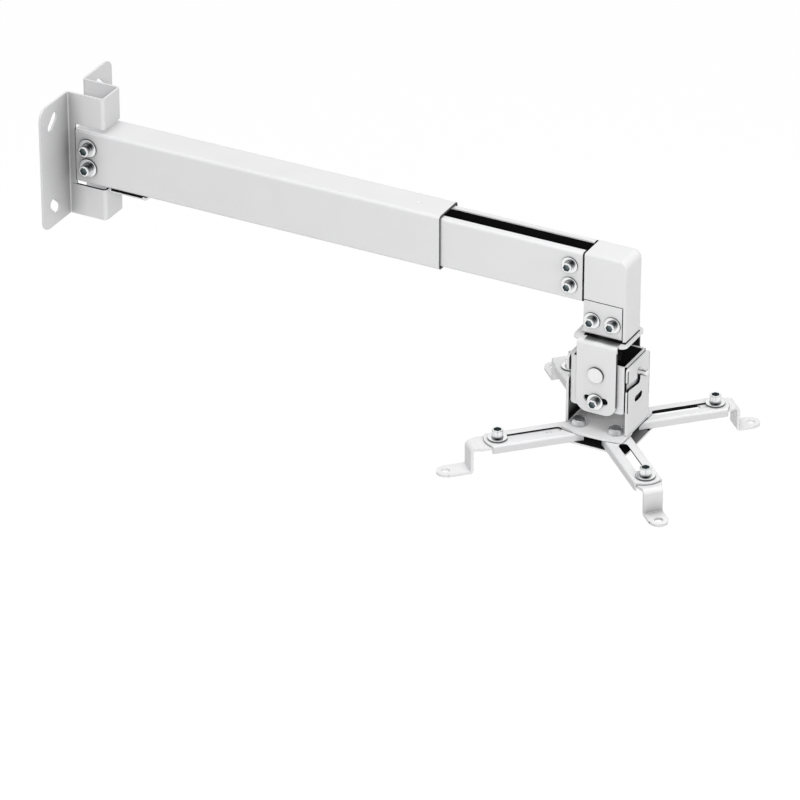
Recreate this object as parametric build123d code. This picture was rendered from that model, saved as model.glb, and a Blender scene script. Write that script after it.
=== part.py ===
from build123d import *
import os
from math import atan2, degrees, hypot

# Telescopic wall mount for a projector, in millimetres.
# X runs from the wall along the boom, Y across it and Z up.
# The origin is the middle of the bracket's back face, on the wall.

# Reach of the boom
shut_length = 430.0         # wall to swivel axis, boom pushed in
boom_travel = 220.0         # how far the boom slides out
boom_reach = 117.5          # how far it is out in this model

# Clearances
seat_gap = 0.15             # between flat faces that are screwed together
slide_gap = 0.2             # between parts that slide on each other
bore_gap = 0.06             # radial, between a pin and its bore
screw_gap = 0.4             # radial, between a screw and a clearance hole

# Wall bracket
bracket_sheet = 2.0
bracket_width = 128.0
bracket_height = 124.0
bracket_corner = 10.0
bracket_bend = 1.5
hat_depth = 40.0
slit_start = 9.2            # from the wall to the bottom of the tube slits
slit_inside = 0.8           # from the slit to the tube's inner face
slit_outside = 3.9          # from the slit to the tube's outer face
wall_slot_length = 20.0
wall_slot_width = 9.5
wall_slot_spacing = 86.4    # both ways
wall_slot_angle = 45.0

# Outer tube
tube_width = 35.0
tube_height = 54.0
tube_wall = 1.6
tube_corner = 3.0
tube_start = 10.4           # from the wall
tube_end = 387.0
dimple_from_end = 29.0
dimple_radius = 2.4
dimple_depth = 0.7

# Guide studs in the tube's floor
stud_from_end = 27.5
stud_spacing = 136.0
stud_radius = 1.6
stud_head_radius = 2.6
stud_head_height = 0.8
stud_pad_radius = 4.0

# Stop plate under the tube
stop_plate_start = 46.0
stop_plate_length = 38.0
stop_plate_sheet = 2.5
stop_screw_place = 63.0     # from the wall
stop_screw_reach = 14.0     # into the tube
stop_notch_start = 47.0     # from the wall
stop_notch_length = 33.0
stop_notch_depth = 1.2
stop_notch_width = 3.0

# Inner tube
inner_width = 30.6
inner_height = 48.8
inner_sheet = 1.5
inner_bend = 1.0
inner_mouth = 17.0          # opening between the lips on top
inner_rear_shut = 70.0      # rear end from the wall, boom pushed in
elbow_joint_gap = 1.2       # between inner tube and elbow

# Elbow
elbow_wall = 1.8
elbow_edge = 1.5            # radius along the other edges
elbow_rear = 17.8           # behind the swivel axis
elbow_front = 23.6          # before the swivel axis
elbow_cheek = 2.8           # what the sides keep behind the front face
elbow_drop = 54.6           # below the boom's axis
elbow_side_drop = 20.6
elbow_nose = 7.5            # radius along the top front edge
tongue_reach = 42.0         # behind the swivel axis
tongue_height = 44.0
tongue_sheet = 2.0
tongue_foot = 50.0          # below the boom's axis
tongue_foot_rear = 15.5
tongue_front = 18.0
tongue_corner = 4.0

# Head bracket
head_sheet = 1.5
head_bend = 1.0
head_line = 0.8             # gap line above the side plates
head_front_line = 0.7       # gap line before them
head_tail = 23.0            # web behind the swivel axis
head_tail_width = 27.0
head_tail_corner = 5.0

# Swivel yoke
yoke_gap = 2.0              # filled by the swivel disc
yoke_sheet = 2.5
yoke_bend = 1.5
yoke_width = 49.2           # over the two legs
yoke_leg = 39.0
yoke_leg_corner = 11.0
yoke_ear_length = 52.4
yoke_ear_width = 42.0
yoke_ear_corner = 6.0
yoke_drop = 71.3            # top face to the end of the legs
disc_radius = 14.0

# Tilt axis, a pair of rivets along Y
tilt_axis_drop = 88.4       # below the boom's axis
tilt_limit = 15.0
rivet_radius = 4.0
rivet_head_radius = 7.6
rivet_head_height = 2.4
rivet_dome = 0.6
rivet_tail_radius = 5.5
rivet_tail_height = 1.5
tilt_slot_radius = 27.0     # from the tilt axis to the curved slot
tilt_slot_angle = 18.0      # either way
tilt_slot_width = 7.2

# Tilt box
box_sheet = 2.5
box_length = 55.0
box_corner = 3.0
box_top = 11.8              # above the tilt axis
box_bottom = 36.0           # below the tilt axis
box_foot_corner = 5.0
box_side_gap = 0.6          # between box and yoke legs

# Roll axis, a pair of pins along X
pin_radius = 3.2
pin_tip = 38.8              # from the swivel axis
pin_chamfer = 0.5
pin_collar_radius = 5.0
pin_collar_height = 1.5
roll_gap = 0.5              # between box and roll yoke
roll_slot_radius = 26.0
roll_slot_angle = 10.0
roll_slot_width = 6.2
roll_thread_radius = 2.5

# Roll yoke
roll_sheet = 2.5
roll_bend = 1.5
roll_width = 44.0
roll_top = 10.9             # above the pins
roll_base_drop = 59.0       # pins to the underside of the base
hook_mouth_drop = 6.8       # slot centre at the edge, below the pins
hook_corner_drop = 9.6      # slot centre under the pins
roll_plate_corner = 3.0     # top corners and slot mouth
base_bulge = 12.9           # how far the base stands past the plates
base_bulge_radius = 165.0
base_corner = 4.0

# Hub
hub_pitch_x = 36.0
hub_pitch_y = 39.0
hub_plate_sheet = 2.0
hub_plate_width = 70.0
hub_plate_corner = 4.0
hub_rivet_radius = 3.0
hub_head_radius = 7.3
hub_head_flat = 4.6
hub_head_height = 5.2
hub_head_shoulder = 3.1     # height where the dome turns in
hub_head_turn = 0.7         # how far it has come in there
hub_tail_radius = 4.2
hub_tail_height = 1.5

# Arms
arm_angle = 45.0
front_arm_angle = 44.2      # the near outer arm stands a little closer to the boom
arm_sheet = 1.6
arm_bend = 0.6
arm_width = 26.0
arm_height = 7.8
arm_length = 89.0           # pivot to outer end
arm_end_radius = 20.0
arm_slot_start = 16.5       # from the pivot
arm_slot_margin = 5.5       # from the slot to the outer end
arm_slot_width = 8.6

# Feet
foot_sheet = 2.5
foot_bend = 2.2             # upper fold
foot_crease = 0.6           # lower fold
foot_screw_inset = 12.0     # from the arm's outer end
foot_leg_width = 18.0
foot_leg = 22.8             # from the strip's top to the foot's top
foot_taper_start = 10.0     # before the leg
foot_taper_end = 4.0
foot_tip = 8.3              # beyond the hole
foot_hole_radius = 4.0
foot_tail_corner = 3.0
spare_hole_place = 48.8     # before the screw
spare_hole_radius = 2.9
long_foot = {"tail": 63.0, "leg": 27.6, "hole": 20.8}
short_foot = {"tail": 14.0, "leg": 20.8, "hole": 14.2}

# Screws: shank radius, head radius, head height, key width, washer radius and thickness
large_screw = {"shank": 3.9, "head": 5.2, "height": 7.8, "key": 6.0, "washer": 9.0, "thick": 1.6}
small_screw = {"shank": 2.9, "head": 4.7, "height": 6.0, "key": 5.0, "washer": 7.8, "thick": 1.4}
screw_pitch = 20.0          # between the two screws of a pair
foot_screw_reach = 7.0      # shank below the washer
head_chamfer = 0.5
key_depth = 0.55            # as a share of the head's height
wall_screw_place = 23.4     # from the wall
boom_screw_place = 32.0     # behind the swivel axis
head_screw_place = 0.8      # middle of the pair before the swivel axis
head_screw_drop = 40.0      # below the boom's axis
nut_width = 13.0
nut_height = 6.5
screw_tip = 1.0             # past the nut or plate that holds it
swivel_head_height = 4.2

# Places worked out from the sizes above
swivel_x = shut_length + boom_reach
tube_floor = -tube_height / 2
cavity_width = tube_width - 2 * tube_wall
cavity_height = tube_height - 2 * tube_wall
hat_width = cavity_width - 2 * seat_gap
inner_end = swivel_x - elbow_rear - elbow_joint_gap
tongue_face = inner_width / 2 - inner_sheet - seat_gap
web_bottom = -elbow_drop + seat_gap
yoke_top = web_bottom - yoke_gap
yoke_inside = yoke_width / 2 - yoke_sheet
box_width = 2 * (yoke_inside - box_side_gap)
roll_inside = box_length / 2 + roll_gap
roll_length = 2 * (roll_inside + roll_sheet)
base_bottom = -tilt_axis_drop - roll_base_drop
base_top = base_bottom + roll_sheet
arm_top = base_bottom - slide_gap
hub_plate_top = arm_top - arm_height - slide_gap
hub_plate_bottom = hub_plate_top - hub_plate_sheet
strip_top = arm_top - arm_sheet - slide_gap
strip_width = arm_width - 2 * arm_sheet - 2 * slide_gap
arm_slot_end = arm_length - arm_slot_margin
foot_screw_place = arm_length - foot_screw_inset

os.makedirs("parts", exist_ok=True)


def save(name, *solids):
    """Write one node, a single solid or a group of separate ones."""
    shape = Compound(label=name, children=[piece.solid() for piece in solids])
    export_step(shape, f"parts/{name}.step")


def block(x, y, z):
    """Box between two limits along each axis."""
    centre = [sum(limits) / 2 for limits in (x, y, z)]
    size = [limits[1] - limits[0] for limits in (x, y, z)]
    return Pos(*centre) * Box(*size)


def rod(start, toward, radius, length):
    """Cylinder that starts at a point and runs along a direction."""
    return extrude(Plane(start, z_dir=toward) * Circle(radius), length)


def folded(points, sheet, *bends):
    """Section of a sheet folded along points, with its thickness on their left.

    One inside radius serves all corners, or each corner has its own.
    """
    radii = []
    each_bend = bends * len(points)
    for before, corner, after, bend in zip(points, points[1:], points[2:], each_bend):
        turn = ((corner[0] - before[0]) * (after[1] - corner[1])
                - (corner[1] - before[1]) * (after[0] - corner[0]))
        radii.append(bend + sheet if turn > 0 else bend)
    path = FilletPolyline(*points, radius=radii)
    return make_face(offset(path, amount=sheet, side=Side.LEFT))


def between(section, plane, half):
    """Section drawn on a plane, made as thick as twice a half width."""
    return extrude(plane * section, half, both=True)


def hexagon(seat, toward, width, height):
    """Hexagonal prism for nuts and bolt heads."""
    return extrude(Plane(seat, z_dir=toward) * RegularPolygon(width / 2, 6, major_radius=False), height)


def socket_screw(size, seat, toward, reach):
    """Socket-head screw whose head stands on a seat and whose shank runs on from it."""
    out = -Vector(*toward)
    seat = Vector(*seat)
    head = rod(seat, out, size["head"], size["height"])
    top = head.faces().sort_by(Axis(seat, out))[-1]
    head = chamfer(top.edges(), head_chamfer)
    socket = hexagon(seat + out * size["height"], toward, size["key"], size["height"] * key_depth)
    return head + rod(seat, toward, size["shank"], reach) - socket


def washer(size, seat, toward):
    """Flat ring whose far face is on a seat."""
    ring = Plane(seat, z_dir=toward) * (Circle(size["washer"]) - Circle(size["shank"] + bore_gap))
    return extrude(ring, -size["thick"])


def screw_and_washer(size, seat, toward, reach):
    """Screw with the washer under its head; the washer lies on the seat."""
    lifted = Vector(*seat) - Vector(*toward) * size["thick"]
    return socket_screw(size, lifted, toward, size["thick"] + reach), washer(size, seat, toward)


def screw_pair(size, x, height, seat, reach):
    """Screws above each other on both sides, and their washers."""
    screws = []
    washers = []
    for side in (-1, 1):
        for z in (height - screw_pitch / 2, height + screw_pitch / 2):
            screw, ring = screw_and_washer(size, (x, side * seat, z), (0, -side, 0), reach)
            screws.append(screw)
            washers.append(ring)
    return screws, washers


def cross_holes(places, radius):
    """Rods right across the boom, to cut holes in both sides."""
    return [between(Pos(x, z) * Circle(radius), Plane.XZ, tube_width) for x, z in places]


# Wall bracket

def wall_bracket():
    """Plate on the wall, folded outwards into the hat that the tube sits over."""
    side = bracket_width / 2
    inside = hat_width / 2 - bracket_sheet
    front = hat_depth - bracket_sheet
    path = [(0, side), (0, inside), (front, inside), (front, -inside), (0, -inside), (0, -side)]
    plate = between(folded(path, bracket_sheet, bracket_bend), Plane.XY, bracket_height / 2)
    outline = RectangleRounded(bracket_width, bracket_height, bracket_corner)
    plate &= extrude(Plane.YZ * outline, hat_depth)
    slit = (cavity_height / 2 - slit_inside, tube_height / 2 + slit_outside)
    for lower, upper in (slit, (-slit[1], -slit[0])):
        plate -= block((slit_start, hat_depth), (-hat_width / 2, hat_width / 2), (lower, upper))
    for side in (-1, 1):
        for level in (-1, 1):
            slot = SlotOverall(wall_slot_length, wall_slot_width, rotation=-side * level * wall_slot_angle)
            place = Pos(side * wall_slot_spacing / 2, level * wall_slot_spacing / 2)
            plate -= extrude(Plane.YZ * place * slot, bracket_sheet)
    holes = cross_holes(wall_screw_places, large_screw["shank"] + screw_gap)
    return plate - holes


def outer_tube():
    """Rectangular tube with holes for its screws and studs and a pressed dimple."""
    outside = RectangleRounded(tube_width, tube_height, tube_corner)
    cavity = RectangleRounded(cavity_width, cavity_height, tube_corner - tube_wall)
    tube = extrude(Plane.YZ.offset(tube_start) * (outside - cavity), tube_end - tube_start)
    tube -= cross_holes(wall_screw_places, large_screw["shank"] + screw_gap)
    for x in stud_places:
        tube -= rod((x, 0, tube_floor), (0, 0, 1), stud_radius + bore_gap, tube_wall)
    tube -= rod((stop_screw_place, 0, tube_floor), (0, 0, 1), small_screw["shank"] + bore_gap, tube_wall)
    dimple = Pos(tube_end - dimple_from_end, 0, tube_height / 2)
    tube -= dimple * Cone(dimple_radius - dimple_depth, dimple_radius + dimple_depth, 2 * dimple_depth)
    return tube


def guide_studs():
    """Studs riveted into the tube's floor, whose pads carry the inner tube."""
    studs = []
    pad = (cavity_height - inner_height) / 2 - slide_gap
    for x in stud_places:
        stud = rod((x, 0, tube_floor - stud_head_height), (0, 0, 1), stud_head_radius, stud_head_height)
        stud += rod((x, 0, tube_floor), (0, 0, 1), stud_radius, tube_wall)
        stud += rod((x, 0, tube_floor + tube_wall), (0, 0, 1), stud_pad_radius, pad)
        studs.append(stud)
    return studs


def wall_nuts():
    """Nuts inside the hat."""
    nuts = []
    inside = hat_width / 2 - bracket_sheet
    for side in (-1, 1):
        for x, z in wall_screw_places:
            nut = hexagon((x, side * inside, z), (0, -side, 0), nut_width, nut_height)
            nut -= rod((x, side * inside, z), (0, -side, 0), large_screw["shank"] + bore_gap, nut_height)
            nuts.append(nut)
    return nuts


def stop_plate():
    """Plate under the tube with a notch along both upper edges."""
    top = tube_floor - seat_gap
    length = (stop_plate_start, stop_plate_start + stop_plate_length)
    plate = block(length, (-tube_width / 2, tube_width / 2), (top - stop_plate_sheet, top))
    notch = (stop_notch_start, stop_notch_start + stop_notch_length)
    for side in (-1, 1):
        edge = sorted((side * tube_width / 2, side * (tube_width / 2 - stop_notch_width)))
        plate -= block(notch, edge, (top - stop_notch_depth, top))
    start = (stop_screw_place, 0, top - stop_plate_sheet)
    return plate - rod(start, (0, 0, 1), small_screw["shank"] + screw_gap, stop_plate_sheet)


wall_screw_places = [(wall_screw_place, side * screw_pitch / 2) for side in (-1, 1)]
stud_places = [tube_end - stud_from_end, tube_end - stud_from_end - stud_spacing]

save("wall_bracket", wall_bracket())
save("outer_tube", outer_tube())
save("guide_studs", *guide_studs())
save("wall_nuts", *wall_nuts())
save("stop_plate", stop_plate())

seat = tube_width / 2
wall_reach = seat - hat_width / 2 + bracket_sheet + nut_height + screw_tip
screws, washers = screw_pair(large_screw, wall_screw_place, 0, seat, wall_reach)
save("wall_screws", *screws)
save("wall_washers", *washers)

seat = (stop_screw_place, 0, tube_floor - seat_gap - stop_plate_sheet)
screw, ring = screw_and_washer(small_screw, seat, (0, 0, 1), stop_plate_sheet + stop_screw_reach)
save("stop_screw", screw)
save("stop_washer", ring)


# Boom that slides in the outer tube

def inner_tube():
    """Channel with lips, open along the top."""
    side = inner_width / 2
    top = inner_height / 2
    lip = inner_mouth / 2
    path = [(-lip, top), (-side, top), (-side, -top), (side, -top), (side, top), (lip, top)]
    start = inner_rear_shut + boom_reach
    section = Plane.YZ.offset(start) * folded(path, inner_sheet, inner_bend)
    tube = extrude(section, inner_end - start)
    return tube - cross_holes(boom_screw_places, small_screw["shank"] + screw_gap)


def elbow():
    """Folded cover with a tongue on each side that reaches into the inner tube."""
    side = inner_width / 2
    rear = swivel_x - elbow_rear
    front = swivel_x + elbow_front
    shell = nosed_block((rear, front), side, inner_height / 2, elbow_nose)
    rim = shell.faces().filter_by(Plane.XZ).edges()
    rim = rim.filter_by(lambda edge: edge.center().X > rear and edge.center().Z > -elbow_drop)
    shell = fillet(rim, elbow_edge)
    hollow = (rear, front - elbow_wall)
    shell -= nosed_block(hollow, side - elbow_wall, inner_height / 2 - elbow_wall, elbow_nose - elbow_wall)
    shell -= block((rear, front - elbow_cheek), (-side, side), (-elbow_drop, -elbow_side_drop))
    for plate in tongues():
        shell += plate
    shell -= cross_holes(boom_screw_places, small_screw["shank"] + bore_gap)
    return shell - cross_holes(head_screw_places, small_screw["shank"] + bore_gap)


def nosed_block(x, side, top, nose):
    """Block as deep as the elbow, rounded along its top front edge."""
    solid = block(x, (-side, side), (-elbow_drop, top))
    return fillet(solid.edges().filter_by(Axis.Y).group_by(Axis.X)[-1].sort_by(Axis.Z)[-1], nose)


def tongues():
    """Two upright plates inside the elbow, each with a foot between the head's plates."""
    top = tongue_height / 2
    outline = make_face(Polyline(
        (-tongue_reach, top), (tongue_front, top), (tongue_front, -tongue_foot),
        (-tongue_foot_rear, -tongue_foot), (-tongue_foot_rear, -top), (-tongue_reach, -top),
        (-tongue_reach, top)))
    corners = outline.vertices()
    ends = corners.group_by(Axis.X)[0] + corners.group_by(Axis.Y)[0]
    outline = fillet(ends, tongue_corner)
    plates = []
    for side in (-1, 1):
        face = Plane((swivel_x, side * tongue_face, 0), x_dir=(1, 0, 0), z_dir=(0, -1, 0))
        plates.append(extrude(face * outline, side * tongue_sheet))
    return plates


def head_bracket():
    """Channel round the elbow's foot; its web carries the swivel."""
    side = inner_width / 2
    top = -elbow_side_drop - head_line
    path = [(-side, top), (-side, web_bottom), (side, web_bottom), (side, top)]
    rear = swivel_x - elbow_rear
    front = swivel_x + elbow_front - elbow_cheek - head_front_line
    channel = extrude(Plane.YZ.offset(rear) * folded(path, head_sheet, head_bend), front - rear)
    tail = RectangleRounded(2 * head_tail, head_tail_width, head_tail_corner)
    tail = extrude(Plane((swivel_x, 0, web_bottom)) * tail, head_sheet)
    channel += tail & block((swivel_x - head_tail, swivel_x), (-side, side), (web_bottom, 0))
    channel -= cross_holes(head_screw_places, small_screw["shank"] + screw_gap)
    return channel - rod((swivel_x, 0, web_bottom), (0, 0, 1), large_screw["shank"] + bore_gap, head_sheet)


def swivel_bolt():
    """Hexagon bolt up through the swivel, with its head below."""
    head_top = yoke_top - yoke_sheet - bore_gap - large_screw["thick"]
    tip = web_bottom + head_sheet + large_screw["thick"] + nut_height + screw_tip
    start = (swivel_x, 0, head_top)
    bolt = hexagon(start, (0, 0, -1), nut_width, swivel_head_height)
    return bolt + rod(start, (0, 0, 1), large_screw["shank"], tip - head_top)


def swivel_nut():
    """Nut inside the head bracket."""
    start = (swivel_x, 0, web_bottom + head_sheet + large_screw["thick"])
    nut = hexagon(start, (0, 0, 1), nut_width, nut_height)
    return nut - rod(start, (0, 0, 1), large_screw["shank"] + bore_gap, nut_height)


def swivel_washers():
    """Washer under the nut and washer above the bolt's head."""
    upper = washer(large_screw, (swivel_x, 0, web_bottom + head_sheet), (0, 0, -1))
    lower = washer(large_screw, (swivel_x, 0, yoke_top - yoke_sheet - bore_gap), (0, 0, 1))
    return upper, lower


def swivel_disc():
    """Dark plastic disc between the head bracket and the yoke."""
    ring = Circle(disc_radius) - Circle(large_screw["shank"] + bore_gap)
    return extrude(Plane((swivel_x, 0, web_bottom)) * ring, bore_gap - yoke_gap)


boom_screw_places = [(swivel_x - boom_screw_place, side * screw_pitch / 2) for side in (-1, 1)]
head_screw_middle = swivel_x + head_screw_place
head_screw_places = [(head_screw_middle + side * screw_pitch / 2, -head_screw_drop) for side in (-1, 1)]

save("inner_tube", inner_tube())
save("elbow", elbow())
save("head_bracket", head_bracket())
save("swivel_bolt", swivel_bolt())
save("swivel_nut", swivel_nut())
save("swivel_washers", *swivel_washers())
save("swivel_disc", swivel_disc())

seat = inner_width / 2
tongue_reach_in = seat - tongue_face + tongue_sheet + screw_tip
screws, washers = screw_pair(small_screw, swivel_x - boom_screw_place, 0, seat, tongue_reach_in)
save("boom_screws", *screws)
save("boom_washers", *washers)

screws = []
washers = []
for x, z in head_screw_places:
    for side in (-1, 1):
        screw, ring = screw_and_washer(small_screw, (x, side * seat, z), (0, -side, 0), tongue_reach_in)
        screws.append(screw)
        washers.append(ring)
save("head_screws", *screws)
save("head_washers", *washers)


# Swivel yoke and tilt box

def swivel_yoke():
    """Folded yoke with four ears on top and a curved slot in each leg."""
    side = yoke_width / 2
    bottom = yoke_top - yoke_drop
    path = [(side, bottom), (side, yoke_top), (-side, yoke_top), (-side, bottom)]
    section = Plane.YZ.offset(swivel_x) * folded(path, yoke_sheet, yoke_bend)
    yoke = extrude(section, yoke_leg / 2, both=True)
    yoke = fillet(yoke.edges().filter_by(Axis.Y).group_by(Axis.Z)[0], yoke_leg_corner)
    ears = RectangleRounded(yoke_ear_length, yoke_ear_width, yoke_ear_corner)
    yoke += extrude(Plane((swivel_x, 0, yoke_top)) * ears, -yoke_sheet)
    yoke -= rod((swivel_x, 0, yoke_top), (0, 0, -1), large_screw["shank"] + bore_gap, yoke_sheet)
    yoke -= between(Circle(rivet_radius + bore_gap), tilt_side, yoke_width)
    slot = curved_slot(tilt_slot_radius, tilt_slot_angle, tilt_slot_width)
    return yoke - between(slot, tilt_side, yoke_width)


def curved_slot(radius, angle, width):
    """Slot along an arc below the origin, the same angle to both sides."""
    return SlotArc(CenterArc((0, 0), radius, -90 - angle, 2 * angle), width)


def tilt_rivets():
    """Domed rivets through the yoke's legs, on which the box tilts."""
    rivets = []
    outside = yoke_width / 2
    inside = box_width / 2 - box_sheet - bore_gap
    for side in (-1, 1):
        out = (0, side, 0)
        head = rod((swivel_x, side * outside, -tilt_axis_drop), out, rivet_head_radius, rivet_head_height)
        head = fillet(head.faces().sort_by(Axis.Y)[-1 if side > 0 else 0].edges(), rivet_dome)
        start = (swivel_x, side * (inside - rivet_tail_height), -tilt_axis_drop)
        rivet = head + rod(start, out, rivet_radius, outside - inside + rivet_tail_height)
        rivets.append(rivet + rod(start, out, rivet_tail_radius, rivet_tail_height))
    return rivets


def tilt_box():
    """Rectangular ring between the legs, with threaded holes in all four walls."""
    low = -tilt_axis_drop - box_bottom
    high = -tilt_axis_drop + box_top
    outside = RectangleRounded(box_length, box_width, box_corner)
    inside = RectangleRounded(box_length - 2 * box_sheet, box_width - 2 * box_sheet, box_corner - box_sheet)
    box = extrude(Plane((swivel_x, 0, low)) * (outside - inside), high - low)
    length = (swivel_x - box_length / 2, swivel_x + box_length / 2)
    profile = block(length, (-box_width, box_width), (low, high))
    profile = fillet(profile.edges().filter_by(Axis.Y).group_by(Axis.Z)[0], box_foot_corner)
    box &= profile
    box -= between(Circle(rivet_radius + bore_gap), tilt_side, box_width)
    box -= between(Pos(0, -tilt_slot_radius) * Circle(small_screw["shank"] + bore_gap), tilt_side, box_width)
    box -= between(Circle(pin_radius + bore_gap), roll_side, box_length)
    return box - between(Pos(0, -roll_slot_radius) * Circle(roll_thread_radius), roll_side, box_length)


def roll_pins():
    """Pins that stand out of the box towards the wall and away from it."""
    pins = []
    inside = box_length / 2 - box_sheet
    for side in (-1, 1):
        out = (side, 0, 0)
        start = (swivel_x + side * (inside - pin_collar_height), 0, -tilt_axis_drop)
        pin = rod(start, out, pin_radius, pin_tip - inside + pin_collar_height)
        pin = chamfer(pin.faces().sort_by(Axis.X)[-1 if side > 0 else 0].edges(), pin_chamfer)
        pins.append(pin + rod(start, out, pin_collar_radius, pin_collar_height))
    return pins


tilt_side = Plane((swivel_x, 0, -tilt_axis_drop), x_dir=(1, 0, 0), z_dir=(0, -1, 0))
roll_side = Plane((swivel_x, 0, -tilt_axis_drop), x_dir=(0, 1, 0), z_dir=(1, 0, 0))

save("swivel_yoke", swivel_yoke())
save("tilt_rivets", *tilt_rivets())
save("tilt_box", tilt_box())
save("roll_pins", *roll_pins())

seat = yoke_width / 2 + slide_gap
tilt_reach = seat - box_width / 2 + box_sheet + screw_tip
screws = []
washers = []
for side in (-1, 1):
    place = (swivel_x, side * seat, -tilt_axis_drop - tilt_slot_radius)
    screw, ring = screw_and_washer(small_screw, place, (0, -side, 0), tilt_reach)
    screws.append(screw)
    washers.append(ring)
save("tilt_screws", *screws)
save("tilt_washers", *washers)


# Roll yoke and hub

def roll_yoke():
    """Yoke that hooks onto the pins from one side and carries the arms."""
    side = roll_length / 2
    high = roll_top
    low = -roll_base_drop
    path = [(-side, high), (-side, low), (side, low), (side, high)]
    yoke = extrude(tilt_side * folded(path, roll_sheet, roll_bend), roll_width / 2, both=True)
    yoke &= between(plate_outline(), roll_side, roll_length)
    yoke += extrude(Plane((swivel_x, 0, base_bottom)) * base_outline(), roll_sheet)
    yoke -= between(curved_slot(roll_slot_radius, roll_slot_angle, roll_slot_width), roll_side, roll_length)
    for x, y in hub_places:
        yoke -= rod((x, y, base_bottom), (0, 0, 1), hub_rivet_radius + bore_gap, roll_sheet)
    return yoke


def plate_outline():
    """Outline of the upright plates, with the hook slot open towards one side."""
    middle = (roll_top - roll_base_drop) / 2
    outline = Pos(0, middle) * Rectangle(roll_width, roll_top + roll_base_drop)
    hook = Polyline((-roll_width / 2 - pin_radius, -hook_mouth_drop), (0, -hook_corner_drop), (0, 0))
    outline -= make_face(offset(hook, amount=pin_radius + bore_gap, side=Side.BOTH))
    columns = outline.vertices().group_by(Axis.X)
    slot_edge = columns[0].sort_by(Axis.Y)
    plain_edge = columns[-1].sort_by(Axis.Y)
    return fillet(slot_edge[1:] + plain_edge[1:], roll_plate_corner)


def base_outline():
    """Outline of the base where it swells past the two plates."""
    apex = roll_width / 2 + base_bulge
    centre = base_bulge_radius - apex
    lens = Pos(0, centre) * Circle(base_bulge_radius) & Pos(0, -centre) * Circle(base_bulge_radius)
    lens &= Rectangle(roll_length, 2 * apex)
    return fillet(lens.vertices(), base_corner)


def hub_plate():
    """Square plate under the arms."""
    outline = RectangleRounded(hub_plate_width, hub_plate_width, hub_plate_corner)
    plate = extrude(Plane((swivel_x, 0, hub_plate_top)) * outline, -hub_plate_sheet)
    for x, y in hub_places:
        plate -= rod((x, y, hub_plate_bottom), (0, 0, 1), hub_rivet_radius + bore_gap, hub_plate_sheet)
    return plate


def hub_rivets():
    """Four rivets with tall domed heads, the pivots of the arms."""
    rivets = []
    for x, y in hub_places:
        dome = Spline((hub_head_radius, 0), (hub_head_radius - hub_head_turn, hub_head_shoulder),
                      (hub_head_flat, hub_head_height), tangents=[(0, 1), (-1, 0)])
        rest = Polyline((hub_head_flat, hub_head_height), (0, hub_head_height), (0, 0), (hub_head_radius, 0))
        section = Plane((x, y, base_top), x_dir=(1, 0, 0), z_dir=(0, -1, 0)) * make_face(dome + rest)
        rivet = revolve(section, Axis((x, y, 0), (0, 0, 1)))
        rivet += rod((x, y, base_top), (0, 0, -1), hub_rivet_radius, base_top - hub_plate_bottom)
        rivet += rod((x, y, hub_plate_bottom), (0, 0, -1), hub_tail_radius, hub_tail_height)
        rivets.append(rivet)
    return rivets


hub_places = [(swivel_x + x * hub_pitch_x / 2, y * hub_pitch_y / 2) for x in (-1, 1) for y in (-1, 1)]

save("roll_yoke", roll_yoke())
save("hub_plate", hub_plate())
save("hub_rivets", *hub_rivets())


# Arms and feet, drawn pointing along X from the arm's pivot, with the arm's top at zero

def arm():
    """Channel, open below, with a long slot; round at both ends."""
    half = arm_width / 2
    end_centre = arm_length - arm_end_radius
    path = [(half, -arm_height), (half, 0), (-half, 0), (-half, -arm_height)]
    channel = extrude(Plane.YZ * folded(path, arm_sheet, arm_bend), arm_length)
    outline = Pos(end_centre / 2, 0) * Rectangle(end_centre, arm_width)
    outline += Pos(end_centre, 0) * Circle(arm_end_radius)
    channel &= extrude(outline, -arm_height)
    channel += extrude(Circle(half), -arm_sheet)
    slot = SlotOverall(arm_slot_end - arm_slot_start, arm_slot_width)
    channel -= extrude(Pos((arm_slot_start + arm_slot_end) / 2, 0) * slot, -arm_sheet)
    return channel - extrude(Circle(hub_rivet_radius + bore_gap), -arm_sheet)


def foot(kind):
    """Strip that slides in the arm, folded down and out to the projector's screw."""
    rear = foot_screw_place - kind["tail"]
    leg = foot_screw_place + kind["leg"]
    hole = leg + kind["hole"]
    tip = hole + foot_tip
    top = strip_top - arm_top
    path = [(tip, top - foot_leg), (leg, top - foot_leg), (leg, top), (rear, top)]
    section = folded(path, foot_sheet, foot_crease, foot_bend)
    strip = between(section, Plane.XZ, strip_width / 2)
    wide = strip_width / 2
    thin = foot_leg_width / 2
    upper = [(rear, wide), (leg - foot_taper_start, wide), (leg - foot_taper_end, thin), (hole, thin)]
    lower = [(x, -y) for x, y in reversed(upper)]
    outline = make_face(Polyline(*upper, *lower, upper[0]))
    outline = fillet(outline.vertices().group_by(Axis.X)[0], foot_tail_corner)
    outline += Pos(hole, 0) * Circle(foot_tip)
    strip &= extrude(Plane((0, 0, top)) * outline, -2 * foot_leg)
    strip -= rod((foot_screw_place, 0, top), (0, 0, -1), large_screw["shank"] + bore_gap, foot_sheet)
    strip -= rod((hole, 0, top - foot_leg), (0, 0, -1), foot_hole_radius, foot_sheet)
    if kind["tail"] > spare_hole_place:
        spare = foot_screw_place - spare_hole_place
        strip -= rod((spare, 0, top), (0, 0, -1), spare_hole_radius, foot_sheet)
    return strip


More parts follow.
